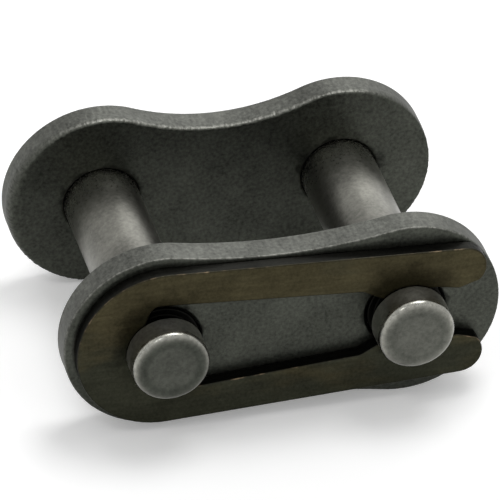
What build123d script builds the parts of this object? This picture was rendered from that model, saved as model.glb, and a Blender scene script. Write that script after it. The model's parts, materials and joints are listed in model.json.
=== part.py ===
from build123d import *
from math import acos, atan2, cos, hypot, pi, radians, sin
import os

# Roller chain connecting link, half-inch pitch, closed with a spring clip.
# Millimetres. X runs along the chain from the left pin to the right pin, the
# pins lie along Y with the clip side towards -Y, and Z is up. The origin is
# midway between the two pins and midway between the two plates. The link
# stands on the lower lobes of its plates.

# Chain sizes
pitch = 12.7
inner_width = 11.23
plate_thickness = 1.5
pin_radius = 1.985

# Plates: two round lobes joined by a hollowed waist
lobe_radius = 4.98
back_waist_depth = 1.24
cover_waist_depth = 0.59
plate_edge_round = 0.2
hole_edge_chamfer = 0.2
cover_hole_clearance = 0.03

# Pins: grooved for the clip in front, riveted over the back plate behind
pin_front_stand = 2.4
pin_end_round = 0.35
groove_radius = 1.6
groove_edge_chamfer = 0.06
rivet_height = 1.1
rivet_flare = 0.32
rivet_round = 0.7

# Spring clip: one flat stamping with a closed end and two prongs
clip_thickness = 0.7
clip_side_play = 0.04
clip_end_radius = 4.49
clip_edge_round = 0.1
prong_half_width = 3.8
prong_reach = 3.95
prong_tip_corner = 1.1
seat_clearance = 0.05
seat_half_angle = 46
seat_run = 1.4
slot_head_room = 0.7
slot_corner_reach = 0.65
neck_height = 0.28
neck_reach = 2.45
latch_bite = 0.22
latch_reach = 2.58
lead_in_flare = 0.36
lead_in_set_back = 0.3
slot_corner_round = 0.6
latch_round = 0.5
neck_round = 0.15

# Places along Y, counted outwards from the middle of the link
inner_face = inner_width / 2
outer_face = inner_face + plate_thickness
clip_back = outer_face + clip_side_play
groove_front = clip_back + clip_thickness + clip_side_play
pin_end = outer_face + pin_front_stand
rivet_end = outer_face + rivet_height

# Places along X
half_pitch = pitch / 2
seat_radius = groove_radius + seat_clearance

back_plane = Plane.XZ.offset(-outer_face)
cover_plane = Plane.XZ.offset(inner_face)
clip_plane = Plane.XZ.offset(clip_back)


def link_outline(waist_depth):
    """Closed outline of a plate: lobe arcs and waist arcs, tangent where they meet."""
    waist = lobe_radius - waist_depth
    waist_radius = (half_pitch**2 + waist**2 - lobe_radius**2) / (2 * waist_depth)
    turn = atan2(waist + waist_radius, -half_pitch)
    join_x = half_pitch + lobe_radius * cos(turn)
    join_z = lobe_radius * sin(turn)
    for side in (1, -1):
        ThreePointArc((-join_x, side * join_z), (0, side * waist), (join_x, side * join_z))
        lobe_end = (side * (half_pitch + lobe_radius), 0)
        ThreePointArc((side * join_x, -join_z), lobe_end, (side * join_x, join_z))


def on_circle(centre_x, radius, angle):
    """Point of a circle centred on the X axis, with the angle in radians."""
    return (centre_x + radius * cos(angle), radius * sin(angle))


def corners(outline, *places):
    """Vertices of an outline at the given places and at their mirror images below."""
    chosen = ShapeList()
    for x, z in places:
        for side in (1, -1):
            chosen += outline.vertices().sort_by_distance((x, side * z))[:1]
    return chosen


# Back plate, pressed on the two pins and held by their riveted ends
with BuildPart() as back_plate:
    with BuildSketch(back_plane):
        with BuildLine():
            link_outline(back_waist_depth)
        make_face()
        with GridLocations(pitch, 0, 2, 1):
            Circle(pin_radius, mode=Mode.SUBTRACT)
    extrude(amount=plate_thickness)
    back_rear = back_plate.faces().sort_by(Axis.Y)[-1]
    back_front = back_plate.faces().sort_by(Axis.Y)[0]
    hole_rims = back_front.inner_wires().edges()
    fillet(back_rear.outer_wire().edges() + back_front.outer_wire().edges(), plate_edge_round)
    chamfer(hole_rims, hole_edge_chamfer)
back_plate.part.label = "back_plate"

# Cover plate, a sliding fit over the pins
with BuildPart() as cover_plate:
    with BuildSketch(cover_plane):
        with BuildLine():
            link_outline(cover_waist_depth)
        make_face()
        with GridLocations(pitch, 0, 2, 1):
            Circle(pin_radius + cover_hole_clearance, mode=Mode.SUBTRACT)
    extrude(amount=plate_thickness)
    cover_faces = cover_plate.faces().filter_by(Axis.Y)
    outer_edges = ShapeList()
    hole_rims = ShapeList()
    for face in cover_faces:
        outer_edges += face.outer_wire().edges()
        hole_rims += face.inner_wires().edges()
    fillet(outer_edges, plate_edge_round)
    chamfer(hole_rims, hole_edge_chamfer)
cover_plate.part.label = "cover_plate"

# Pins: each is turned about its own axis, with the clip groove at the front
rim_radius = pin_radius + rivet_flare
pins = {}
for name, pin_x in (("left_pin", -half_pitch), ("right_pin", half_pitch)):
    with BuildPart() as pin:
        with BuildSketch(Plane((pin_x, 0, 0))):
            with BuildLine():
                Polyline(
                    (0, rivet_end),
                    (0, -pin_end),
                    (pin_radius, -pin_end),
                    (pin_radius, -groove_front),
                    (groove_radius, -groove_front),
                    (groove_radius, -outer_face),
                    (pin_radius, -outer_face),
                    (pin_radius, outer_face),
                    (rim_radius, outer_face),
                    (rim_radius, rivet_end),
                    close=True,
                )
            make_face()
        revolve(axis=Axis((pin_x, 0, 0), (0, 1, 0)))
        circles = pin.edges().filter_by(GeomType.CIRCLE).group_by(Axis.Y)
        end_rim = circles[0]
        rivet_rim = circles[-1]
        groove_rims = circles[1].sort_by(SortBy.RADIUS)[-1:] + circles[2].sort_by(SortBy.RADIUS)[-1:]
        fillet(end_rim, pin_end_round)
        fillet(rivet_rim, rivet_round)
        chamfer(groove_rims, groove_edge_chamfer)
    pin.part.label = name
    pins[name] = pin.part

# Spring clip, lying on the cover plate in the grooves of both pins
prong_tip = half_pitch + prong_reach
prong_end = (prong_tip - prong_tip_corner, prong_half_width)
leg_run = prong_end[0] + half_pitch
leg_turn = atan2(prong_half_width, leg_run) + acos(clip_end_radius / hypot(leg_run, prong_half_width))
latch_half = seat_radius - latch_bite
lead_in_half = latch_half + lead_in_flare
seat_turn = pi - radians(seat_half_angle)
lead_in = (prong_tip - lead_in_set_back, lead_in_half)
latch = (half_pitch + latch_reach, latch_half)
seat_exit = (half_pitch + seat_run, seat_radius)
neck = on_circle(half_pitch, seat_radius, seat_turn)
neck_start = (half_pitch - neck_reach, seat_radius + neck_height)
slot_corner = (-half_pitch - slot_corner_reach, pin_radius + slot_head_room)
closed_seat = on_circle(-half_pitch, seat_radius, seat_turn)
with BuildPart() as spring_clip:
    with BuildSketch(clip_plane) as clip_face:
        with BuildLine():
            ThreePointArc(
                on_circle(-half_pitch, clip_end_radius, pi),
                on_circle(-half_pitch, clip_end_radius, (pi + leg_turn) / 2),
                on_circle(-half_pitch, clip_end_radius, leg_turn),
            )
            Line(on_circle(-half_pitch, clip_end_radius, leg_turn), prong_end)
            TangentArc(prong_end, lead_in, tangent=(sin(leg_turn), -cos(leg_turn)))
            Polyline(lead_in, latch, seat_exit, (half_pitch, seat_radius))
            ThreePointArc(
                (half_pitch, seat_radius),
                on_circle(half_pitch, seat_radius, (pi / 2 + seat_turn) / 2),
                neck,
            )
            Polyline(neck, neck_start, slot_corner, closed_seat)
            ThreePointArc(
                closed_seat,
                on_circle(-half_pitch, seat_radius, (pi + seat_turn) / 2),
                on_circle(-half_pitch, seat_radius, pi),
            )
            mirror(about=Plane.XZ)
        make_face()
        fillet(corners(clip_face, slot_corner), slot_corner_round)
        fillet(corners(clip_face, latch, neck_start, seat_exit), latch_round)
        fillet(corners(clip_face, neck, lead_in, closed_seat), neck_round)
    extrude(amount=clip_thickness)
    fillet(spring_clip.faces().filter_by(Axis.Y).edges(), clip_edge_round)
spring_clip.part.label = "spring_clip"

# Files, one for each piece
os.makedirs("parts", exist_ok=True)
export_step(back_plate.part, "parts/back_plate.step")
export_step(cover_plate.part, "parts/cover_plate.step")
for name, pin_part in pins.items():
    export_step(pin_part, f"parts/{name}.step")
export_step(spring_clip.part, "parts/spring_clip.step")
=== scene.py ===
"""Roller chain connecting link: stamped plates, turned pins, a spring clip and a plain pale stage.

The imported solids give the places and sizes. The pieces built here stand for them with the sheared edges,
worn corners and tool marks of the real steel.
"""

import json
import math
from collections import namedtuple

import bmesh
import bpy
from bpy.props import FloatProperty, FloatVectorProperty, IntProperty, PointerProperty
from mathutils import Matrix, Vector, noise


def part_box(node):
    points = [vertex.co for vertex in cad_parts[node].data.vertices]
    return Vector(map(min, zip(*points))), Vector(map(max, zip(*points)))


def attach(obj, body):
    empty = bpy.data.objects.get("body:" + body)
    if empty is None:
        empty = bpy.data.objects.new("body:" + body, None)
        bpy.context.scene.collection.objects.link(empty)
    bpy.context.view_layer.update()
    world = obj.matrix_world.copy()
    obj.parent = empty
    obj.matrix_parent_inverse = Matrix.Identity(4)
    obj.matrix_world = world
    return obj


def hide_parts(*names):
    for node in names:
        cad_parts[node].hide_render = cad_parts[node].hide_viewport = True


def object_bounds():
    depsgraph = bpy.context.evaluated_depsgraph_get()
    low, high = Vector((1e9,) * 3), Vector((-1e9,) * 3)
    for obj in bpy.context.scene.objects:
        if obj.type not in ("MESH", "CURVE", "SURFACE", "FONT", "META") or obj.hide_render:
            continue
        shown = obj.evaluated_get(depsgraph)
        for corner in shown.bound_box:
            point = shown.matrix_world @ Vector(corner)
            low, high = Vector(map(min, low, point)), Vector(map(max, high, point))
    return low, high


bl_info = {
    "name": "Roller Chain Connecting Link",
    "version": (1, 0, 0),
    "blender": (4, 5, 0),
    "location": "View3D > Sidebar > Chain Link",
    "description": "Stamped plates, turned pins and a spring clip, on a plain pale stage",
    "category": "Object",
}

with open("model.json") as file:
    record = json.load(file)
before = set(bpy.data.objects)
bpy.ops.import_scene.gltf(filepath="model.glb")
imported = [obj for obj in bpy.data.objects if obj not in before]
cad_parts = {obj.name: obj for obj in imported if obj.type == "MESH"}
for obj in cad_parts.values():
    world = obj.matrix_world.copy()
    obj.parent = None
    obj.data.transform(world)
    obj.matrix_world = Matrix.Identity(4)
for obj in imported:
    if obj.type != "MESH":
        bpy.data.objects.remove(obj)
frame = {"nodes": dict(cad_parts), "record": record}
cad_low, cad_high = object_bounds()

# Lengths are in metres, and points closer together than HAIR are merged
MM = 0.001
HAIR = 0.001 * MM
FLOOR_REACH = 2.0
WHITE = (1.0, 1.0, 1.0, 1.0)

# Space between two nodes of a shader tree in Blender's editor
NODE_STEP = 190

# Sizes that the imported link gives
mounts = {mount["name"]: mount for mount in frame["record"]["mounts"]}
pin_radius = mounts["left_pin_span"]["dims"]["r_mm"] * MM
half_pitch = mounts["pin_plate_gap"]["dims"]["spacing_x_mm"] * MM / 2
lobe_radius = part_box("back_plate")[1].x - half_pitch


def length(label, description, default):
    """A length that a user may change, given in millimetres."""
    return FloatProperty(
        name=label, description=description, default=default * MM, unit="LENGTH", precision=6
    )


def colour(label, description, red, green, blue):
    """A colour that a user may change."""
    return FloatVectorProperty(
        name=label, description=description, subtype="COLOR", size=4, default=(red, green, blue, 1.0)
    )


class PlateSettings(bpy.types.PropertyGroup):
    """Sizes and colours of the two stamped plates."""

    back_waist: length("Back Waist", "How far the back plate's waist lies inside its lobes", 1.24)
    cover_waist: length("Cover Waist", "How far the cover plate's waist lies inside its lobes", 0.59)
    cover_play: length("Cover Play", "Clearance of the cover plate's holes round the pins", 0.03)
    broken_inset: length("Broken Inset", "How far the broken edge reaches into the face", 0.13)
    broken_run: length("Broken Run", "How far the broken edge reaches along the wall", 0.33)
    rolled_edge: length("Rolled Edge", "Radius of the corner that the punch draws in", 0.1)
    face_sag: length("Face Sag", "How far the punch draws the face down beside that corner", 0.03)
    rear_edge: length("Rear Edge", "Radius of the corner at the back of each plate", 0.06)
    left_wear: length("Left Wear", "How much longer the front corners are at the left lobe ends", 0.25)
    right_wear: length("Right Wear", "How much longer the front corners are at the right lobe ends", 0.5)
    left_spread: FloatProperty(
        name="Left Spread",
        description="How much wider those corners are at the left, as a share",
        default=1.2,
    )
    right_spread: FloatProperty(
        name="Right Spread",
        description="How much wider those corners are at the right, as a share, or narrower below 0",
        default=-0.45,
    )
    cover_wear: FloatProperty(
        name="Cover Wear",
        description="Share of this wear that the cover plate shows",
        subtype="FACTOR",
        default=0.25,
        min=0.0,
        max=1.0,
    )
    wear_sag: length("Wear Sag", "How far the faces are worn down at the lobe ends", 0.03)
    hole_chamfer: length("Hole Chamfer", "Width of the chamfer round each hole", 0.12)
    tear_depth: length("Tear Depth", "Depth of the torn grain on the sheared wall", 0.014)
    face_colour: colour("Face Colour", "Blued steel of the flat faces", 0.052, 0.055, 0.046)
    wall_colour: colour("Wall Colour", "Lighter steel of the sheared walls", 0.092, 0.094, 0.084)
    # Partly a painted glint along the edges, partly rubbed bare steel
    rub_and_glint_colour: colour("Rub And Glint Colour", "Rubbed bare steel and painted glint on the edges", 0.16, 0.16, 0.145)


class PinSettings(bpy.types.PropertyGroup):
    """Sizes and colours of the two pins."""

    facets: IntProperty(name="Facets", description="Steps round each pin", default=144, min=32)
    groove_radius: length("Groove Radius", "Radius of the groove that holds the clip", 1.6)
    clip_play: length("Clip Play", "Clearance in front of the clip and behind it", 0.04)
    end_round: length("End Round", "Rounding of the front rim", 0.37)
    dish_radius: length("Dish Radius", "Radius of the shallow dish in the front end", 1.42)
    dish_depth: length("Dish Depth", "Depth of the shallow dish in the front end", 0.025)
    rivet_round: length("Rivet Round", "Rounding of the riveted end", 0.7)
    chip_depth: length("Chip Depth", "Depth of the small knocks in the rims", 0.03)
    side_colour: colour("Side Colour", "Ground steel of the pins' sides", 0.36, 0.355, 0.315)
    end_colour: colour("End Colour", "Duller steel of the cut ends", 0.032, 0.036, 0.029)
    rim_colour: colour("Rim Colour", "Bare steel of the rubbed rims", 0.25, 0.25, 0.226)
    # Painted shade in the grooves, and old oil
    groove_shade_colour: colour("Groove Shade Colour", "Old oil and painted shade in the grooves", 0.007, 0.007, 0.006)


class ClipSettings(bpy.types.PropertyGroup):
    """Sizes and colours of the spring clip."""

    rolled_edge: length("Rolled Edge", "Radius of the smooth edge in front", 0.085)
    broken_edge: length("Broken Edge", "Radius of the jagged edge behind", 0.05)
    tear_depth: length("Tear Depth", "Depth of the torn grain on the sheared wall", 0.012)
    temper_colour: colour("Temper Colour", "Brown film that tempering leaves", 0.045, 0.039, 0.021)
    oxide_colour: colour("Oxide Colour", "Darker olive patches of the film", 0.027, 0.028, 0.019)
    wall_colour: colour("Wall Colour", "Black scale on the sheared walls", 0.015, 0.015, 0.013)
    # Painted sheen on the edges, partly rubbed steel
    copper_sheen_colour: colour("Copper Sheen Colour", "Coppery sheen of the rubbed edges", 0.18, 0.135, 0.085)


class StageSettings(bpy.types.PropertyGroup):
    """Camera, lamps and floor."""

    azimuth: FloatProperty(
        name="Azimuth",
        description="Camera's turn round the link",
        subtype="ANGLE",
        default=math.radians(-15.6744),
    )
    elevation: FloatProperty(
        name="Elevation",
        description="Camera's height above the horizon",
        subtype="ANGLE",
        default=math.radians(34.6498),
    )
    roll: FloatProperty(
        name="Roll",
        description="Camera's turn about its own axis",
        subtype="ANGLE",
        default=math.radians(1.8025),
    )
    lens: FloatProperty(
        name="Lens",
        description="Focal length in millimetres",
        default=430.37,
        unit="CAMERA",
    )
    distance: length("Distance", "From the camera to the link's origin", 306.23)
    aim_right: length("Aim Right", "How far right of the origin the camera aims", 0.105)
    aim_down: length("Aim Down", "How far below the origin the camera aims", 0.156)
    ambient: FloatProperty(
        name="Ambient",
        description="Even light from all round",
        default=0.5,
        min=0.0,
    )
    backdrop: FloatProperty(
        name="Backdrop",
        description="How much whiter the floor looks than its light makes it",
        default=0.23,
        min=0.0,
    )


def add_node(tree, kind, inputs=None, **settings):
    """Adds a shader node. Each input takes a value or another node's output."""
    made = tree.nodes.new(kind)
    made.location = (NODE_STEP * len(tree.nodes), 0)
    for name, value in settings.items():
        setattr(made, name, value)
    for name, value in (inputs or {}).items():
        socket = made.inputs[name]
        if isinstance(value, bpy.types.NodeSocket):
            tree.links.new(value, socket)
        else:
            socket.default_value = value
    return made


def calculate(tree, operation, first, second=0.0, third=0.0):
    """Output of a Math node."""
    return add_node(tree, "ShaderNodeMath", {0: first, 1: second, 2: third}, operation=operation).outputs[0]


def ramp(tree, value, low, high):
    """Smooth step of a value from 0 at low to 1 at high."""
    stepped = add_node(
        tree,
        "ShaderNodeMapRange",
        {"Value": value, "From Min": low, "From Max": high},
        interpolation_type="SMOOTHSTEP",
    )
    return stepped.outputs[0]


def blend_colours(tree, factor, first, second):
    """Output of a colour Mix node."""
    mixed = add_node(tree, "ShaderNodeMix", {0: factor, 6: first, 7: second}, data_type="RGBA")
    return mixed.outputs[2]


def scale_colour(tree, steel, factor):
    """A colour made lighter or darker by a factor."""
    scaled = add_node(tree, "ShaderNodeVectorMath", {0: steel, "Scale": factor}, operation="SCALE")
    return scaled.outputs[0]


def attribute(tree, name):
    """A number that the mesh carries at each point."""
    return add_node(tree, "ShaderNodeAttribute", attribute_name=name).outputs["Fac"]


def start_group(name, inputs, outputs):
    """An empty shader group with its sockets; returns the group and its input and output nodes."""
    group = bpy.data.node_groups.new(name, "ShaderNodeTree")
    for label, kind, default in inputs:
        socket = group.interface.new_socket(name=label, in_out="INPUT", socket_type=kind)
        if default is not None:
            socket.default_value = default
    for label in outputs:
        group.interface.new_socket(name=label, in_out="OUTPUT", socket_type="NodeSocketFloat")
    return group, add_node(group, "NodeGroupInput"), group.nodes.new("NodeGroupOutput")


def make_mottle():
    """Cloudy patches and fine grain, as a factor about 1 and a height."""
    group, given, result = start_group(
        "Steel Mottle",
        [
            ("Vector", "NodeSocketVector", None),
            ("Patch Scale", "NodeSocketFloat", 500.0),
            ("Patch Amount", "NodeSocketFloat", 0.6),
            ("Grain Scale", "NodeSocketFloat", 6000.0),
            ("Grain Amount", "NodeSocketFloat", 1.0),
        ],
        ["Factor", "Height"],
    )
    vector = given.outputs["Vector"]
    patches = add_node(
        group, "ShaderNodeTexNoise", {"Vector": vector, "Scale": given.outputs["Patch Scale"], "Detail": 4.0}
    )
    grain = add_node(
        group,
        "ShaderNodeTexNoise",
        {"Vector": vector, "Scale": given.outputs["Grain Scale"], "Detail": 4.0, "Roughness": 0.65},
    )
    patch_share = calculate(group, "SUBTRACT", patches.outputs[0], 0.5)
    grain_share = calculate(group, "SUBTRACT", grain.outputs[0], 0.5)
    patch_shift = calculate(group, "MULTIPLY_ADD", patch_share, given.outputs["Patch Amount"], 1.0)
    factor = calculate(group, "MULTIPLY_ADD", grain_share, given.outputs["Grain Amount"], patch_shift)
    group.links.new(calculate(group, "MAXIMUM", factor, 0.1), result.inputs["Factor"])
    group.links.new(grain.outputs[0], result.inputs["Height"])
    return group


def make_streaks():
    """Fine marks drawn out along the directions in which Stretch is small."""
    group, given, result = start_group(
        "Tool Streaks",
        [
            ("Vector", "NodeSocketVector", None),
            ("Stretch", "NodeSocketVector", (1.0, 1.0, 1.0)),
            ("Scale", "NodeSocketFloat", 8000.0),
        ],
        ["Factor"],
    )
    stretched = add_node(
        group,
        "ShaderNodeVectorMath",
        {0: given.outputs["Vector"], 1: given.outputs["Stretch"]},
        operation="MULTIPLY",
    )
    marks = add_node(
        group,
        "ShaderNodeTexNoise",
        {"Vector": stretched.outputs[0], "Scale": given.outputs["Scale"], "Detail": 3.0, "Roughness": 0.6},
    )
    group.links.new(marks.outputs[0], result.inputs["Factor"])
    return group


def make_rubbing():
    """Breaks a smooth edge mask up into rubbed patches."""
    group, given, result = start_group(
        "Rubbed Edge",
        [
            ("Edge", "NodeSocketFloat", 0.0),
            ("Vector", "NodeSocketVector", None),
            ("Scale", "NodeSocketFloat", 4000.0),
            ("Cover", "NodeSocketFloat", 0.5),
        ],
        ["Mask"],
    )
    chips = add_node(
        group,
        "ShaderNodeTexNoise",
        {"Vector": given.outputs["Vector"], "Scale": given.outputs["Scale"], "Detail": 2.0},
    )
    edge = given.outputs["Edge"]
    rubbed = calculate(group, "MULTIPLY_ADD", edge, given.outputs["Cover"], chips.outputs[0])
    masked = calculate(group, "MULTIPLY", ramp(group, rubbed, 0.62, 0.95), edge)
    group.links.new(masked, result.inputs["Mask"])
    return group


def make_pin_shade_and_oil():
    """Painted shade round the pins, partly old oil, that fades with the distance from the nearer pin's axis.
    """
    group, given, result = start_group(
        "Pin Shade And Oil",
        [
            ("Vector", "NodeSocketVector", None),
            ("Half Pitch", "NodeSocketFloat", half_pitch),
            ("Inner", "NodeSocketFloat", pin_radius),
            ("Outer", "NodeSocketFloat", 1.4 * pin_radius),
        ],
        ["Mask"],
    )
    vector = given.outputs["Vector"]
    place = add_node(group, "ShaderNodeSeparateXYZ", {0: vector})
    beside = calculate(
        group, "SUBTRACT", calculate(group, "ABSOLUTE", place.outputs["X"]), given.outputs["Half Pitch"]
    )
    reach = calculate(
        group,
        "SQRT",
        calculate(
            group,
            "MULTIPLY_ADD",
            beside,
            beside,
            calculate(group, "MULTIPLY", place.outputs["Z"], place.outputs["Z"]),
        ),
    )
    blots = add_node(group, "ShaderNodeTexNoise", {"Vector": vector, "Scale": 1500.0, "Detail": 3.0})
    wander = calculate(group, "MULTIPLY_ADD", blots.outputs[0], 0.7, 0.65)
    ragged = calculate(group, "MULTIPLY", reach, wander)
    masked = ramp(group, ragged, given.outputs["Outer"], given.outputs["Inner"])
    group.links.new(masked, result.inputs["Mask"])
    return group


def place_group(tree, name, inputs):
    """Places a shared shader group in a material, building it at its first use."""
    group = bpy.data.node_groups.get(name) or GROUPS[name]()
    return add_node(tree, "ShaderNodeGroup", inputs, node_tree=group)


GROUPS = {
    "Steel Mottle": make_mottle,
    "Tool Streaks": make_streaks,
    "Rubbed Edge": make_rubbing,
    "Pin Shade And Oil": make_pin_shade_and_oil,
}


def start_material(name):
    """A material with its shader, and the object's own coordinates."""
    material = bpy.data.materials.new(name)
    material.use_nodes = True
    tree = material.node_tree
    tree.nodes.clear()
    coordinates = add_node(tree, "ShaderNodeTexCoord").outputs["Object"]
    shader = add_node(tree, "ShaderNodeBsdfPrincipled")
    output = add_node(tree, "ShaderNodeOutputMaterial")
    tree.links.new(shader.outputs[0], output.inputs["Surface"])
    return material, tree, coordinates, shader


def finish_steel(tree, shader, steel, roughness, height, relief):
    """Feeds a metal's colour, roughness and relief to its shader."""
    shader.inputs["Metallic"].default_value = 1.0
    tree.links.new(steel, shader.inputs["Base Color"])
    tree.links.new(roughness, shader.inputs["Roughness"])
    bump = add_node(tree, "ShaderNodeBump", {"Height": height, "Distance": relief})
    tree.links.new(bump.outputs[0], shader.inputs["Normal"])


def make_plate_material(settings):
    """Blued plate steel: dark mottled faces, lighter sheared walls, edges of rubbed steel with a painted
    glint, and painted shade round the pins.
    """
    material, tree, coordinates, shader = start_material("Blued Plate Steel")
    wall = attribute(tree, "wall")
    edge = attribute(tree, "edge")
    mottle = place_group(
        tree,
        "Steel Mottle",
        {
            "Vector": coordinates,
            "Patch Scale": 480.0,
            "Patch Amount": 0.9,
            "Grain Scale": 5200.0,
            "Grain Amount": 2.0,
        },
    )
    streaks = place_group(
        tree, "Tool Streaks", {"Vector": coordinates, "Stretch": (1.0, 0.2, 1.0), "Scale": 5000.0}
    )
    rubbed = place_group(
        tree, "Rubbed Edge", {"Edge": edge, "Vector": coordinates, "Scale": 5000.0, "Cover": 0.4}
    )
    # Painted shade round the pins, partly old oil, darkens the plate steel there
    shade_and_oil = place_group(
        tree,
        "Pin Shade And Oil",
        {"Vector": coordinates, "Inner": pin_radius, "Outer": 1.18 * pin_radius},
    )
    streak_shade = calculate(tree, "MULTIPLY_ADD", streaks.outputs[0], 0.8, 0.6)
    walls = scale_colour(tree, tuple(settings.wall_colour[:3]), streak_shade)
    steel = blend_colours(tree, wall, tuple(settings.face_colour), walls)
    # Painted glint along the corners, partly rubbed bare steel, lightens the edges
    steel = blend_colours(tree, rubbed.outputs[0], steel, tuple(settings.rub_and_glint_colour))
    shade_factor = calculate(tree, "MULTIPLY_ADD", shade_and_oil.outputs[0], -0.6, 1.0)
    steel = scale_colour(tree, steel, calculate(tree, "MULTIPLY", shade_factor, mottle.outputs["Factor"]))
    dull = calculate(tree, "MULTIPLY_ADD", wall, 0.08, 0.3)
    roughness = calculate(tree, "MULTIPLY_ADD", mottle.outputs["Height"], 0.2, dull)
    shader.inputs["Specular Tint"].default_value = (0.8, 0.8, 0.8, 1.0)
    streak_height = calculate(tree, "MULTIPLY", streaks.outputs[0], wall)
    height = calculate(tree, "ADD", streak_height, mottle.outputs["Height"])
    finish_steel(tree, shader, steel, roughness, height, 0.008 * MM)
    return material


def make_pin_material(settings):
    """Bare pin steel: ground sides, duller stubs, dull dished ends, bright rims, and grooves painted near
    black for shade and old oil.
    """
    material, tree, coordinates, shader = start_material("Ground Pin Steel")
    end = attribute(tree, "end")
    edge = attribute(tree, "edge")
    shade_and_oil = attribute(tree, "shade_and_oil")
    stub = attribute(tree, "stub")
    mottle = place_group(
        tree,
        "Steel Mottle",
        {
            "Vector": coordinates,
            "Patch Scale": 800.0,
            "Patch Amount": 0.8,
            "Grain Scale": 5000.0,
            "Grain Amount": 1.2,
        },
    )
    grinding = place_group(
        tree, "Tool Streaks", {"Vector": coordinates, "Stretch": (0.15, 1.0, 0.15), "Scale": 7000.0}
    )
    rubbed = place_group(
        tree, "Rubbed Edge", {"Edge": edge, "Vector": coordinates, "Scale": 3500.0, "Cover": 0.35}
    )
    steel = blend_colours(tree, end, tuple(settings.side_colour), tuple(settings.end_colour))
    steel = blend_colours(tree, rubbed.outputs[0], steel, tuple(settings.rim_colour))
    # The grooves are painted near black: painted shade in the recess, and old oil
    steel = blend_colours(tree, shade_and_oil, steel, tuple(settings.groove_shade_colour))
    dull = calculate(tree, "MULTIPLY_ADD", calculate(tree, "ADD", end, shade_and_oil), 0.23, 0.17)
    dull = calculate(tree, "MULTIPLY_ADD", stub, 0.18, dull)
    roughness = calculate(tree, "MULTIPLY_ADD", mottle.outputs["Height"], 0.14, dull)
    steel = scale_colour(tree, steel, mottle.outputs["Factor"])
    finish_steel(tree, shader, steel, roughness, grinding.outputs[0], 0.0015 * MM)
    return material


def make_clip_material(settings):
    """Spring steel with a brown temper film, black walls, and a painted copper sheen on edges that are partly
    rubbed.
    """
    material, tree, coordinates, shader = start_material("Tempered Clip Steel")
    wall = attribute(tree, "wall")
    edge = attribute(tree, "edge")
    mottle = place_group(
        tree,
        "Steel Mottle",
        {
            "Vector": coordinates,
            "Patch Scale": 500.0,
            "Patch Amount": 1.1,
            "Grain Scale": 6000.0,
            "Grain Amount": 1.2,
        },
    )
    rubbed = place_group(
        tree, "Rubbed Edge", {"Edge": edge, "Vector": coordinates, "Scale": 1600.0, "Cover": 0.14}
    )
    # Painted shade that the pins cast on the clip, partly old oil, lies a little above the pins, so the mask
    # is read from lower down
    above_pins = add_node(
        tree, "ShaderNodeVectorMath", {0: coordinates, 1: (0.0, 0.0, 0.6 * MM)}, operation="SUBTRACT"
    )
    shade_and_oil = place_group(
        tree,
        "Pin Shade And Oil",
        {"Vector": above_pins.outputs[0], "Inner": pin_radius, "Outer": 1.6 * pin_radius},
    )
    smears = place_group(
        tree, "Tool Streaks", {"Vector": coordinates, "Stretch": (0.35, 1.0, 1.0), "Scale": 420.0}
    )
    scratches = place_group(
        tree, "Tool Streaks", {"Vector": coordinates, "Stretch": (0.12, 1.0, 1.0), "Scale": 4500.0}
    )
    # The colour turns from the brown to the darker olive towards the lower edge and towards the closed end
    place = add_node(tree, "ShaderNodeSeparateXYZ", {0: coordinates})
    film_place = calculate(tree, "MULTIPLY_ADD", place.outputs["Z"], -45.0, smears.outputs[0])
    film_place = calculate(tree, "MULTIPLY_ADD", place.outputs["X"], -10.0, film_place)
    film = ramp(tree, film_place, 0.38, 0.66)
    steel = blend_colours(tree, film, tuple(settings.temper_colour), tuple(settings.oxide_colour))
    steel = blend_colours(tree, wall, steel, tuple(settings.wall_colour))
    # Painted copper sheen along the edges, partly rubbed steel
    steel = blend_colours(tree, rubbed.outputs[0], steel, tuple(settings.copper_sheen_colour))
    # Painted shade of the pins, partly old oil, darkens the film, and the scratches vary it
    shade_factor = calculate(tree, "MULTIPLY_ADD", shade_and_oil.outputs[0], -0.5, 1.0)
    scratched = calculate(tree, "MULTIPLY_ADD", scratches.outputs[0], 0.7, 0.65)
    shade_factor = calculate(tree, "MULTIPLY", shade_factor, scratched)
    steel = scale_colour(tree, steel, calculate(tree, "MULTIPLY", shade_factor, mottle.outputs["Factor"]))
    roughness = calculate(tree, "MULTIPLY_ADD", mottle.outputs["Height"], 0.2, 0.28)
    shader.inputs["Specular Tint"].default_value = (0.6, 0.6, 0.6, 1.0)
    finish_steel(tree, shader, steel, roughness, mottle.outputs["Height"], 0.005 * MM)
    return material


def new_loop(made):
    """The edges of the loop that an extrusion has just made."""
    fresh = {item for item in made if isinstance(item, bmesh.types.BMVert)}
    return [item for item in made if isinstance(item, bmesh.types.BMEdge) and set(item.verts) <= fresh]


def walk_loop(edges):
    """Vertices of a closed loop of edges, in order."""
    chosen = set(edges)
    edge = edges[0]
    vert = edge.verts[0]
    ordered = []
    for _ in edges:
        ordered.append(vert)
        vert = edge.other_vert(vert)
        edge = next(other for other in vert.link_edges if other in chosen and other != edge)
    return ordered


def mark_loop(bm, edges, encloses_steel):
    """Stores each vertex's own place on the outline and the direction out of the steel."""
    base = bm.verts.layers.float_vector["base"]
    out = bm.verts.layers.float_vector["out"]
    verts = walk_loop(edges)
    pairs = zip(verts, verts[1:] + verts[:1])
    area = sum(first.co.x * second.co.z - second.co.x * first.co.z for first, second in pairs)
    side = 1 if (area > 0) == encloses_steel else -1
    for before, vert, after in zip(verts[-1:] + verts[:-1], verts, verts[1:] + verts[:1]):
        along = (after.co - before.co).normalized()
        vert[base] = (vert.co.x, 0, vert.co.z)
        vert[out] = (along.z * side, 0, -along.x * side)


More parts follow.
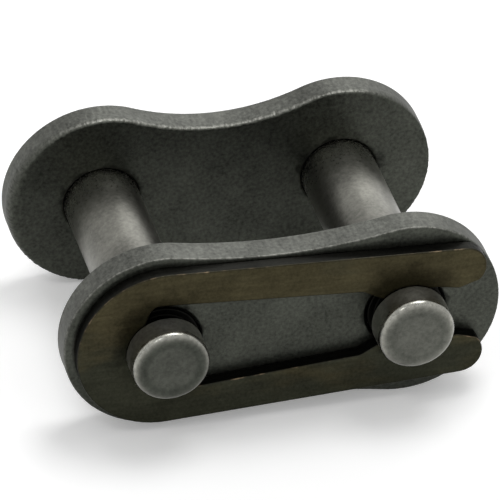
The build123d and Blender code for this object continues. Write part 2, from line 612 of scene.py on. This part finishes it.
def raise_wall(bm, edges, rows, place):
    """Extrudes a marked loop through every row of a wall; returns the loops on the two faces."""
    base = bm.verts.layers.float_vector["base"]
    out = bm.verts.layers.float_vector["out"]
    masks = [bm.verts.layers.float[name] for name in ("wall", "edge")]
    first = edges
    for number, row in enumerate(rows):
        if number:
            edges = new_loop(bmesh.ops.extrude_edge_only(bm, edges=edges)["geom"])
        for vert in {vert for edge in edges for vert in edge.verts}:
            inset, y, *values = place(row, vert[base])
            vert.co = vert[base] - vert[out] * inset + Vector((0, y, 0))
            for mask, value in zip(masks, values):
                vert[mask] = value
    return first, edges


def start_stamping():
    """An empty mesh with the layers that a stamped wall needs."""
    bm = bmesh.new()
    for name in ("base", "out"):
        bm.verts.layers.float_vector.new(name)
    for name in ("wall", "edge"):
        bm.verts.layers.float.new(name)
    return bm


def cap_faces(bm, front, rear):
    """Fills the two flat faces between their loops, and drops the layers that only the walls needed.

    The piece is turned for the fill, which would fold a sliver over where the outline runs level.
    """
    turn = Matrix.Rotation(math.radians(30), 3, "Y")
    bmesh.ops.rotate(bm, cent=(0, 0, 0), matrix=turn, verts=bm.verts)
    for loops, side in ((front, -1), (rear, 1)):
        bmesh.ops.triangle_fill(bm, edges=loops, use_beauty=True, normal=(0, side, 0))
    bmesh.ops.rotate(bm, cent=(0, 0, 0), matrix=turn.transposed(), verts=bm.verts)
    for name in ("base", "out"):
        bm.verts.layers.float_vector.remove(bm.verts.layers.float_vector[name])


def finish_piece(bm, name, node, body, material):
    """Makes an object of the mesh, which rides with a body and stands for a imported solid."""
    bmesh.ops.recalc_face_normals(bm, faces=bm.faces)
    mesh = bpy.data.meshes.new(name)
    bm.to_mesh(mesh)
    bm.free()
    mesh.shade_smooth()
    mesh.materials.append(material)
    piece = bpy.data.objects.new(name, mesh)
    bpy.context.scene.collection.objects.link(piece)
    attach(piece, body)
    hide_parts(node)


# A corner of a stamping: its inset into the face, its run along the wall, the sag of the face beside it and
# how ragged it is, from 0 to 1
Corner = namedtuple("Corner", "inset run sag ragged")

# What a corner measures at one place; the plain inset is the one that it would have without raggedness
Measured = namedtuple("Measured", "inset run sag plain_inset")

# Wear of a corner at one place: a factor for its inset, an extra run and an extra sag
Wear = namedtuple("Wear", "wider longer lower")
UNWORN = Wear(1.0, 0.0, 0.0)


class StampedWall:
    """Shape of a stamping's wall: a corner on each face, and torn grain between them."""

    round_steps = 5
    side_steps = 9
    face_shares = (0.1, 0.4, 0.7, 1.0)
    torn_share = 0.5
    smooth_share = 0.35
    tear_run = 0.5 * MM
    tear_size = 0.16 * MM
    fine_tear_size = 0.07 * MM
    wander_size = 0.2 * MM
    jag_size = 0.07 * MM
    jag_shift = Vector((0, 7, 0))
    dull_run = 0.12 * MM

    def __init__(self, node, front_corner, rear_corner, tear_depth, support, torn_in_front, wear):
        self.front, self.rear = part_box(node)[0].y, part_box(node)[1].y
        self.front_corner = front_corner
        self.rear_corner = rear_corner
        self.tear_depth = tear_depth
        self.support = support
        self.torn_in_front = torn_in_front
        self.wear = wear

    def rows(self):
        """Zones of the wall from the front face to the rear face, each with a share of its zone."""
        steps = [step / self.round_steps for step in range(self.round_steps + 1)]
        side = [step / self.side_steps for step in range(1, self.side_steps)]
        front = [("front_face", share) for share in reversed(self.face_shares)]
        front += [("front", share) for share in steps]
        rear = [("rear", share) for share in steps] + [("rear_face", share) for share in self.face_shares]
        return front + [("side", share) for share in side] + rear

    def shape_corner(self, base, corner, wear):
        """What a corner measures at one place of the outline."""
        wander = noise.noise(base / self.wander_size)
        jag = noise.noise(base / self.jag_size + self.jag_shift)
        ragged_inset = corner.ragged * min(1.0, wear.wider) * (0.35 * wander + 0.2 * jag)
        ragged_run = corner.ragged * (0.3 * wander + 0.35 * jag)
        return Measured(
            inset=corner.inset * (wear.wider + ragged_inset),
            run=corner.run * (1 + ragged_run) + wear.longer,
            sag=corner.sag + wear.lower,
            plain_inset=corner.inset * wear.wider,
        )

    def tear(self, base, share):
        """Depth of the torn grain in a wall point; the rolled side of the wall is sheared smooth."""
        from_break = share if self.torn_in_front else 1 - share
        along = base + Vector((0, share * self.tear_run, 0))
        grain = noise.noise(along / self.tear_size) + 0.6 * noise.noise(along / self.fine_tear_size)
        torn = 1.0 if from_break < self.torn_share else self.smooth_share
        return self.tear_depth * torn * (0.6 + 0.6 * grain)

    def onto_face(self, corner, share):
        """Inset of a point beside a corner; the raggedness fades out towards the flat of the face."""
        return corner.inset + (corner.plain_inset - corner.inset + self.support) * share

    def place(self, row, base):
        """Inset, place along Y, wall mask and edge mask of one wall point.

        The edge mask is a painted glint along the corner, partly rubbed bare steel, and is fainter where wear
        has made the corner long.
        """
        zone, share = row
        wear = self.wear(base)
        front = self.shape_corner(base, self.front_corner, wear)
        rear = self.shape_corner(base, self.rear_corner, UNWORN)
        turn = share * math.pi / 2
        fade = 1 / (1 + (wear.longer / self.dull_run) ** 2)
        # Painted highlight along the corner, partly rubbed steel
        glint = math.sin(share**1.5 * math.pi) * fade
        low, high = self.front + front.sag, self.rear - rear.sag
        if zone == "front_face":
            return self.onto_face(front, share), self.front + front.sag * (1 - share) ** 2, 0.0, 0.0
        if zone == "front":
            return front.inset * (1 - math.sin(turn)), low + front.run * (1 - math.cos(turn)), share, glint
        if zone == "side":
            low, high = low + front.run, high - rear.run
            return self.tear(base, share), low + (high - low) * share, 1.0, 0.0
        if zone == "rear":
            return rear.inset * (1 - math.cos(turn)), high - rear.run * (1 - math.sin(turn)), 1 - share, glint
        return self.onto_face(rear, share), self.rear - rear.sag * (1 - share) ** 2, 0.0, 0.0


class PlateOutline:
    """Outline of one plate: two lobes and two hollowed waists."""

    lobe_steps = 290
    waist_steps = 110
    hole_steps = 128

    def __init__(self, waist_depth):
        waist = lobe_radius - waist_depth
        self.waist_radius = (half_pitch**2 + waist**2 - lobe_radius**2) / (2 * waist_depth)
        self.waist_centre = waist + self.waist_radius
        self.turn = math.atan2(self.waist_centre, -half_pitch)

    def draw(self, bm):
        """Closed loop round the plate: a quarter made by two spins, and its mirror images."""
        start = bm.verts.new((half_pitch + lobe_radius, 0, 0))
        lobe = bmesh.ops.spin(
            bm,
            geom=[start],
            cent=(half_pitch, 0, 0),
            axis=(0, -1, 0),
            angle=self.turn,
            steps=self.lobe_steps,
            use_merge=False,
        )
        join = next(item for item in lobe["geom_last"] if isinstance(item, bmesh.types.BMVert))
        bmesh.ops.spin(
            bm,
            geom=[join],
            cent=(0, 0, self.waist_centre),
            axis=(0, 1, 0),
            angle=math.atan2(join.co.x, self.waist_centre - join.co.z),
            steps=self.waist_steps,
            use_merge=False,
        )
        for axis in ("X", "Z"):
            bmesh.ops.mirror(
                bm, geom=bm.verts[:] + bm.edges[:], matrix=Matrix.Identity(4), merge_dist=HAIR, axis=axis
            )
        bmesh.ops.remove_doubles(bm, verts=bm.verts, dist=HAIR)
        return bm.edges[:]

    def draw_hole(self, bm, x, radius):
        """Closed loop round one hole."""
        place = Matrix.Translation((x, 0, 0)) @ Matrix.Rotation(math.pi / 2, 4, "X")
        made = bmesh.ops.create_circle(bm, segments=self.hole_steps, radius=radius, matrix=place)
        return list({edge for vert in made["verts"] for edge in vert.link_edges})


def lobe_end_wear(base, settings, share):
    """Wear of the front corner, which the tumbling of the plates makes longer round the lobe ends.

    The share scales the run, and the spread at the left. The other values are the same on both plates.
    """
    reach = max(0.0, (abs(base.x) - half_pitch) / lobe_radius) ** 1.4
    if base.x < 0:
        wider, longer = 1 + settings.left_spread * share * reach, settings.left_wear
    else:
        wider, longer = 1 + settings.right_spread * reach, settings.right_wear
    return Wear(wider, longer * share * reach, settings.wear_sag * reach)


def build_plate(node, waist_depth, hole_radius, broken_in_front, settings, material):
    """One stamped plate with its torn walls, rounded corners and two chamfered holes."""
    outline = PlateOutline(waist_depth)
    broken = Corner(settings.broken_inset, settings.broken_run, sag=0.2 * settings.face_sag, ragged=1.0)
    rolled = Corner(settings.rolled_edge, settings.rolled_edge, sag=settings.face_sag, ragged=0.6)
    wear_share = 1.0 if broken_in_front else settings.cover_wear
    wall = StampedWall(
        node,
        front_corner=broken if broken_in_front else rolled,
        rear_corner=Corner(settings.rear_edge, settings.rear_edge, sag=0.0, ragged=0.4),
        tear_depth=settings.tear_depth,
        support=0.3 * MM,
        torn_in_front=broken_in_front,
        wear=lambda base: lobe_end_wear(base, settings, wear_share),
    )
    chamfer = settings.hole_chamfer
    # Inset, place along Y, wall mask and edge mask of each row
    hole_rows = [
        (chamfer * 1.5, wall.front, 0.0, 0.0),
        (chamfer, wall.front, 0.0, 0.6),
        (0.0, wall.front + chamfer, 0.6, 0.2),
        (0.0, wall.rear - chamfer, 0.6, 0.2),
        (chamfer, wall.rear, 0.0, 0.6),
        (chamfer * 1.5, wall.rear, 0.0, 0.0),
    ]
    bm = start_stamping()
    edges = outline.draw(bm)
    mark_loop(bm, edges, encloses_steel=True)
    front, rear = raise_wall(bm, edges, wall.rows(), wall.place)
    for x in (-half_pitch, half_pitch):
        edges = outline.draw_hole(bm, x, hole_radius)
        mark_loop(bm, edges, encloses_steel=False)
        hole_front, hole_rear = raise_wall(bm, edges, hole_rows, lambda row, base: row)
        front = front + hole_front
        rear = rear + hole_rear
    cap_faces(bm, front, rear)
    finish_piece(bm, "stamped_" + node, node, "link", material)


class CHAINLINK_OT_plates(bpy.types.Operator):
    """Build the back plate and the cover plate."""

    bl_idname = "chainlink.plates"
    bl_label = "Build Plates"
    bl_options = {"REGISTER", "UNDO"}

    def execute(self, context):
        settings = context.scene.chainlink_plates
        material = make_plate_material(settings)
        cover_hole = pin_radius + settings.cover_play
        build_plate("back_plate", settings.back_waist, pin_radius, True, settings, material)
        build_plate("cover_plate", settings.cover_waist, cover_hole, False, settings, material)
        return {"FINISHED"}


class PinProfile:
    """Half section of a pin, and the masks of its finish. The right pin's end is brighter than the left
    one's.
    """

    dish_slope = 0.2 * MM
    dish_rounds = (0.12 * MM, 0.08 * MM)
    groove_rim_round = 0.07 * MM
    groove_floor_round = 0.08 * MM
    head_foot_round = 0.1 * MM
    head_dullness = 0.75
    rubbed_from = 0.65
    knock_size = 0.3 * MM
    shade_margins = (0.02 * MM, 0.4 * MM)

    def __init__(self, node, settings):
        low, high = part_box(node)
        self.x = (low.x + high.x) / 2
        self.rim = (high.x - low.x) / 2
        self.front, self.rear = low.y, high.y
        self.groove_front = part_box("spring_clip")[0].y - settings.clip_play
        self.groove_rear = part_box("cover_plate")[0].y
        self.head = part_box("back_plate")[1].y
        self.brighter_end = 0.0 if self.x < 0 else 1.0
        self.settings = settings

    def corners(self):
        """Corners of the half section as (radius, y, rounding), from the front axis to the rear axis."""
        settings = self.settings
        dish = self.front + settings.dish_depth
        floor_round, lip_round = self.dish_rounds
        return [
            (0.0, dish, 0.0),
            (settings.dish_radius - self.dish_slope, dish, floor_round),
            (settings.dish_radius, self.front, lip_round),
            (pin_radius, self.front, settings.end_round),
            (pin_radius, self.groove_front, self.groove_rim_round),
            (settings.groove_radius, self.groove_front, self.groove_floor_round),
            (settings.groove_radius, self.groove_rear, self.groove_floor_round),
            (pin_radius, self.groove_rear, self.groove_rim_round),
            (pin_radius, self.head, 0.0),
            (self.rim, self.head, self.head_foot_round),
            (self.rim, self.rear, settings.rivet_round),
            (0.0, self.rear, 0.0),
        ]

    def masks(self, co):
        """End, edge, groove shade and stub masks at a point; the groove shade is painted shade and old oil,
        and the stub is the side in front of the groove.
        """
        radius = math.hypot(co.x - self.x, co.z)
        along_rim = (co.y - self.front) / self.settings.end_round
        outer_share = max(0.0, (radius / pin_radius - self.rubbed_from) / (1 - self.rubbed_from))
        rubbed = 0.08 * self.brighter_end + (0.2 + 0.2 * self.brighter_end) * outer_share
        end = max(0.0, 1 - rubbed - max(0.0, along_rim) * 1.6) if along_rim < 1 else 0.0
        on_rim = 0 < along_rim < 1 and radius > self.settings.dish_radius
        edge = math.sin(math.pi * along_rim) if on_rim else 0.0
        if co.y > self.head:
            end = self.head_dullness
        # Painted shade in the groove recess, partly old oil
        before, behind = self.shade_margins
        in_groove = self.groove_front - before < co.y < self.groove_rear + behind
        shade_and_oil = 1.0 if in_groove and radius < pin_radius + HAIR else 0.0
        stub = min(1.0, max(0.0, along_rim - 1) * 2) if co.y < self.groove_front else 0.0
        return {"end": end, "edge": edge, "shade_and_oil": shade_and_oil, "stub": stub}


def hold_corners(bm, distance):
    """Splits the long edges of a section close to their ends, so that the flats stay flat in shade."""
    for edge in [edge for edge in bm.edges if edge.calc_length() > 4 * distance]:
        added, vert = bmesh.utils.edge_split(edge, edge.verts[0], distance / edge.calc_length())
        rest = max(edge, added, key=bmesh.types.BMEdge.calc_length)
        bmesh.utils.edge_split(rest, rest.other_vert(vert), distance / rest.calc_length())


def build_pin(node, settings, material):
    """One pin: its rounded half section spun about its axis, with small knocks in the rim."""
    profile = PinProfile(node, settings)
    bm = bmesh.new()
    corners = [(bm.verts.new((profile.x + r, y, 0)), rounding) for r, y, rounding in profile.corners()]
    for (first, _), (second, _) in zip(corners, corners[1:]):
        bm.edges.new((first, second))
    for vert, rounding in corners:
        if rounding:
            bmesh.ops.bevel(
                bm,
                geom=[vert],
                offset=rounding,
                offset_type="OFFSET",
                segments=6,
                profile=0.5,
                affect="VERTICES",
                material=-1,
            )
    hold_corners(bm, distance=0.04 * MM)
    bmesh.ops.spin(
        bm,
        geom=bm.verts[:] + bm.edges[:],
        cent=(profile.x, 0, 0),
        axis=(0, 1, 0),
        angle=2 * math.pi,
        steps=settings.facets,
        use_merge=True,
    )
    bmesh.ops.remove_doubles(bm, verts=bm.verts, dist=HAIR)
    layers = {name: bm.verts.layers.float.new(name) for name in ("end", "edge", "shade_and_oil", "stub")}
    for vert in bm.verts:
        masks = profile.masks(vert.co)
        for name, layer in layers.items():
            vert[layer] = masks[name]
        knock = max(0.0, noise.noise(vert.co / profile.knock_size) - 0.1) * masks["edge"]
        axis_point = Vector((profile.x, vert.co.y, 0))
        vert.co += (axis_point - vert.co).normalized() * knock * settings.chip_depth
    finish_piece(bm, "turned_" + node, node, "link", material)


class CHAINLINK_OT_pins(bpy.types.Operator):
    """Build the two pins."""

    bl_idname = "chainlink.pins"
    bl_label = "Build Pins"
    bl_options = {"REGISTER", "UNDO"}

    def execute(self, context):
        settings = context.scene.chainlink_pins
        material = make_pin_material(settings)
        for node in ("left_pin", "right_pin"):
            build_pin(node, settings, material)
        return {"FINISHED"}


def cut_outline(bm, node, step):
    """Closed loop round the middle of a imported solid, in edges no longer than a step."""
    bm.from_mesh(frame["nodes"][node].data)
    bmesh.ops.remove_doubles(bm, verts=bm.verts, dist=HAIR)
    low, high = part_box(node)
    bmesh.ops.bisect_plane(
        bm,
        geom=bm.verts[:] + bm.edges[:] + bm.faces[:],
        dist=HAIR / 100,
        plane_co=(low + high) / 2,
        plane_no=(0, 1, 0),
        clear_inner=True,
        clear_outer=True,
    )
    for edge in bm.edges[:]:
        cuts = math.ceil(edge.calc_length() / step) - 1
        if cuts:
            bmesh.ops.subdivide_edges(bm, edges=[edge], cuts=cuts)
    return bm.edges[:]


class CHAINLINK_OT_clip(bpy.types.Operator):
    """Build the spring clip."""

    bl_idname = "chainlink.clip"
    bl_label = "Build Clip"
    bl_options = {"REGISTER", "UNDO"}

    def execute(self, context):
        settings = context.scene.chainlink_clip
        node = "spring_clip"
        wall = StampedWall(
            node,
            front_corner=Corner(settings.rolled_edge, settings.rolled_edge, sag=0.0, ragged=0.4),
            rear_corner=Corner(settings.broken_edge, settings.broken_edge, sag=0.0, ragged=1.0),
            tear_depth=settings.tear_depth,
            support=0.03 * MM,
            torn_in_front=False,
            wear=lambda base: UNWORN,
        )
        bm = start_stamping()
        edges = cut_outline(bm, node, step=0.07 * MM)
        mark_loop(bm, edges, encloses_steel=True)
        front, rear = raise_wall(bm, edges, wall.rows(), wall.place)
        cap_faces(bm, front, rear)
        finish_piece(bm, "stamped_" + node, node, "clip", make_clip_material(settings))
        return {"FINISHED"}


def in_view(tree):
    """1 for what the camera sees, straight or through gloss or glass, and 0 for the light it casts."""
    path = add_node(tree, "ShaderNodeLightPath")
    mirrored = calculate(tree, "MAXIMUM", path.outputs["Is Glossy Ray"], path.outputs["Is Transmission Ray"])
    return calculate(tree, "MAXIMUM", path.outputs["Is Camera Ray"], mirrored)


def add_floor(backdrop):
    """A pale floor under the link, which looks a little whiter than its light makes it."""
    bm = bmesh.new()
    bmesh.ops.create_grid(bm, x_segments=1, y_segments=1, size=FLOOR_REACH)
    bmesh.ops.translate(bm, verts=bm.verts, vec=(0, 0, cad_low.z))
    mesh = bpy.data.meshes.new("floor")
    bm.to_mesh(mesh)
    bm.free()
    material, tree, _, shader = start_material("Pale Floor")
    shader.inputs["Base Color"].default_value = WHITE
    shader.inputs["Roughness"].default_value = 0.9
    shader.inputs["Specular IOR Level"].default_value = 0.0
    shader.inputs["Emission Color"].default_value = WHITE
    tree.links.new(calculate(tree, "MULTIPLY", in_view(tree), backdrop), shader.inputs["Emission Strength"])
    mesh.materials.append(material)
    floor = bpy.data.objects.new("floor", mesh)
    bpy.context.scene.collection.objects.link(floor)


def add_lamp(name, direction, distance, size, radiance):
    """A square soft lamp that points at the link."""
    lamp = bpy.data.lights.new(name, "AREA")
    lamp.size = size
    lamp.energy = radiance * math.pi * size**2
    placed = bpy.data.objects.new(name, lamp)
    towards = Vector(direction).normalized()
    placed.location = towards * distance
    placed.rotation_euler = towards.to_track_quat("Z", "Y").to_euler()
    bpy.context.scene.collection.objects.link(placed)


def add_world(ambient):
    """Even light from all round, white where it is seen or reflected."""
    world = bpy.data.worlds.new("Studio")
    world.use_nodes = True
    tree = world.node_tree
    tree.nodes.clear()
    strength = add_node(
        tree, "ShaderNodeMapRange", {"Value": in_view(tree), "To Min": ambient, "To Max": 1.0}
    ).outputs[0]
    background = add_node(tree, "ShaderNodeBackground", {"Color": WHITE, "Strength": strength})
    output = add_node(tree, "ShaderNodeOutputWorld")
    tree.links.new(background.outputs[0], output.inputs["Surface"])
    bpy.context.scene.world = world


def add_camera(settings):
    """The camera at the photograph's viewing angle."""
    azimuth, elevation = settings.azimuth, settings.elevation
    back = Vector(
        (
            math.sin(azimuth) * math.cos(elevation),
            -math.cos(azimuth) * math.cos(elevation),
            math.sin(elevation),
        )
    )
    level = back.to_track_quat("Z", "Y").to_matrix()
    turned = level @ Matrix.Rotation(settings.roll, 3, "Z")
    place = back * settings.distance
    target = turned @ Vector((settings.aim_right, -settings.aim_down, 0))
    swing = (-back).rotation_difference(target - place).to_matrix()
    data = bpy.data.cameras.new("camera")
    data.lens = settings.lens
    data.clip_start = 0.01
    data.clip_end = 20.0
    camera = bpy.data.objects.new("camera", data)
    camera.matrix_world = Matrix.Translation(place) @ (swing @ turned).to_4x4()
    bpy.context.scene.collection.objects.link(camera)
    bpy.context.scene.camera = camera


class CHAINLINK_OT_stage(bpy.types.Operator):
    """Set up the floor, the lamps and the camera."""

    bl_idname = "chainlink.stage"
    bl_label = "Build Stage"
    bl_options = {"REGISTER", "UNDO"}

    def execute(self, context):
        settings = context.scene.chainlink_stage
        add_floor(settings.backdrop)
        add_world(settings.ambient)
        add_lamp("overhead_lamp", (0.25, 0.2, 0.95), distance=0.6, size=0.26, radiance=6.0)
        add_lamp("side_lamp", (-0.42, -0.3, 0.86), distance=0.6, size=0.1, radiance=6.0)
        add_lamp("rear_lamp", (0.42, 0.8, 0.42), distance=0.7, size=0.5, radiance=1.2)
        add_camera(settings)
        context.scene.view_settings.view_transform = "Standard"
        return {"FINISHED"}


class VIEW3D_PT_chainlink(bpy.types.Panel):
    """Sizes, colours and build steps of the connecting link."""

    bl_label = "Chain Link"
    bl_space_type = "VIEW_3D"
    bl_region_type = "UI"
    bl_category = "Chain Link"

    def draw(self, context):
        for name, (group, operator) in STEPS.items():
            box = self.layout.box()
            for key in group.__annotations__:
                box.prop(getattr(context.scene, name), key)
            box.operator(operator.bl_idname)


STEPS = {
    "chainlink_plates": (PlateSettings, CHAINLINK_OT_plates),
    "chainlink_pins": (PinSettings, CHAINLINK_OT_pins),
    "chainlink_clip": (ClipSettings, CHAINLINK_OT_clip),
    "chainlink_stage": (StageSettings, CHAINLINK_OT_stage),
}
CLASSES = [made for step in STEPS.values() for made in step] + [VIEW3D_PT_chainlink]


def register():
    """Registers the classes, and gives the scene a group of settings for each step."""
    for made in CLASSES:
        bpy.utils.register_class(made)
    for name, (group, _) in STEPS.items():
        setattr(bpy.types.Scene, name, PointerProperty(type=group))


def unregister():
    """Takes the settings and the classes away again."""
    for name in STEPS:
        delattr(bpy.types.Scene, name)
    for made in reversed(CLASSES):
        bpy.utils.unregister_class(made)


def main():
    """Builds every piece and the stage."""
    register()
    bpy.ops.chainlink.plates()
    bpy.ops.chainlink.pins()
    bpy.ops.chainlink.clip()
    bpy.ops.chainlink.stage()


if __name__ == "__main__":
    main()
